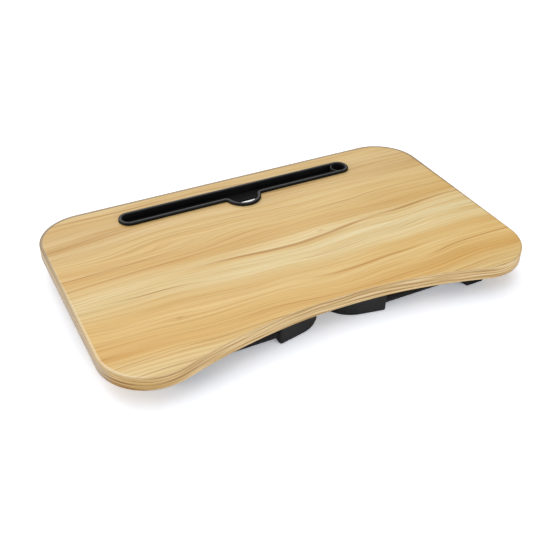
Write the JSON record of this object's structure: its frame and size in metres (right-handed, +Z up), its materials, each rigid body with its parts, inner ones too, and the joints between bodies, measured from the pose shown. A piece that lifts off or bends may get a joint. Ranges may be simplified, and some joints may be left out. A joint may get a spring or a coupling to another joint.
{
  "type": "bed tray table",
  "caption": "Low lap table with a bayed wood-faced board, a slot for a tablet and two tube legs that fold flat underneath.",
  "frame": {"origin": "on the floor under the middle of the board, with the legs folded", "axes": "+X along the board's length, +Y from the user's side (the bay) to the side with the tablet slot, +Z up"},
  "size_m": [0.6, 0.365, 0.051],
  "materials": {
    "core": "raw medium density fibreboard",
    "laminate": "satin pale oak laminate with long grain",
    "band": "satin edge strip printed with fine grain",
    "insert": "black satin moulded plastic",
    "bracket": "black fine-textured moulded nylon",
    "fixing": "zinc-plated steel",
    "leg": "black satin powder coat on steel tube",
    "shoe": "matt dark moulded rubber"
  },
  "bodies": {
    "tabletop": {"board_core": "core", "top_laminate": "laminate", "underside_laminate": "laminate", "edge_band": "band", "tablet_slot_insert": "insert", "hinge_bracket_front_right": "bracket", "bracket_screws_front_right": "fixing", "hinge_pin_front_right": "fixing", "pin_retainer_front_right": "fixing", "hinge_bracket_back_right": "bracket", "bracket_screws_back_right": "fixing", "hinge_pin_back_right": "fixing", "pin_retainer_back_right": "fixing", "hinge_bracket_front_left": "bracket", "bracket_screws_front_left": "fixing", "hinge_pin_front_left": "fixing", "pin_retainer_front_left": "fixing", "hinge_bracket_back_left": "bracket", "bracket_screws_back_left": "fixing", "hinge_pin_back_left": "fixing", "pin_retainer_back_left": "fixing"},
    "right_leg": {"leg_tube_right": "leg", "leg_knuckle_front_right": "bracket", "corner_shoe_front_right": "shoe", "leg_knuckle_back_right": "bracket", "corner_shoe_back_right": "shoe"},
    "left_leg": {"leg_tube_left": "leg", "leg_knuckle_front_left": "bracket", "corner_shoe_front_left": "shoe", "leg_knuckle_back_left": "bracket", "corner_shoe_back_left": "shoe"}
  },
  "joints": [
    {"name": "right_leg_fold", "type": "hinge", "parent": "tabletop", "child": "right_leg", "pos_m": [0.215, 0, 0.014], "axis": [0, -1, 0], "range_deg": [0, 98]},
    {"name": "left_leg_fold", "type": "hinge", "parent": "tabletop", "child": "left_leg", "pos_m": [-0.215, 0, 0.014], "axis": [0, 1, 0], "range_deg": [0, 98]}
  ]
}
